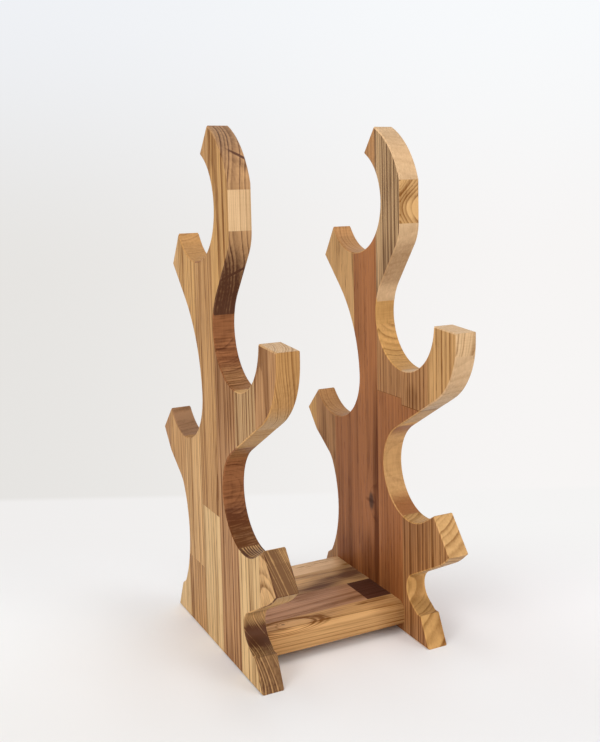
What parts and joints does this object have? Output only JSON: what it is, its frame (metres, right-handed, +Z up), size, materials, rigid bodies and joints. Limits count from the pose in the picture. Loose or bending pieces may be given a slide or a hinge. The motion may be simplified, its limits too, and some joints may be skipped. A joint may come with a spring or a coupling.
{
  "type": "tabletop wine rack",
  "caption": "Freestanding tabletop wine rack: two wavy side panels glued up from hardwood staves, joined by a low shelf, with round cradles sawn into both edges.",
  "frame": {"origin": "on the table, under the middle of the rack's bounding box", "axes": "+X from the left panel to the right panel, -Y towards the front, +Z up"},
  "size_m": [0.18, 0.2682, 0.4589],
  "materials": {
    "wood_honey": "oiled, pale honey staves",
    "wood_tan": "oiled, tan staves",
    "wood_russet": "oiled, reddish brown staves",
    "wood_heart": "oiled, dark heartwood",
    "dowel_beech": "bare dowel rod"
  },
  "bodies": {
    "root": {"left_stave_1_2": "wood_tan", "left_stave_1_1": "wood_tan", "left_stave_2_2": "wood_honey", "left_stave_2_1": "wood_honey", "left_stave_3_2": "wood_tan", "left_stave_3_1": "wood_tan", "left_stave_4_3": "wood_tan", "left_stave_4_2": "wood_tan", "left_stave_4_1": "wood_tan", "left_stave_5_3": "wood_tan", "left_stave_5_2": "wood_tan", "left_stave_5_1": "wood_tan", "left_stave_6_3": "wood_honey", "left_stave_6_2": "wood_honey", "left_stave_6_1": "wood_honey", "left_stave_7_1": "wood_tan", "right_stave_1_2": "wood_honey", "right_stave_1_1": "wood_honey", "right_stave_2_3": "wood_tan", "right_stave_2_2": "wood_tan", "right_stave_2_1": "wood_tan", "right_stave_3_3": "wood_tan", "right_stave_3_2": "wood_tan", "right_stave_3_1": "wood_tan", "right_stave_4_2": "wood_russet", "right_stave_4_1": "wood_russet", "right_stave_5_2": "wood_russet", "right_stave_5_1": "wood_russet", "right_stave_6_3": "wood_tan", "right_stave_6_2": "wood_tan", "right_stave_6_1": "wood_tan", "right_stave_7_1": "wood_honey", "shelf_stave_1_1": "wood_honey", "shelf_stave_2_2": "wood_russet", "shelf_stave_2_1": "wood_russet", "shelf_stave_3_1": "wood_heart", "shelf_stave_4_1": "wood_tan", "left_dowel_1": "dowel_beech", "left_dowel_2": "dowel_beech", "left_dowel_3": "dowel_beech", "right_dowel_1": "dowel_beech", "right_dowel_2": "dowel_beech", "right_dowel_3": "dowel_beech"}
  },
  "joints": []
}
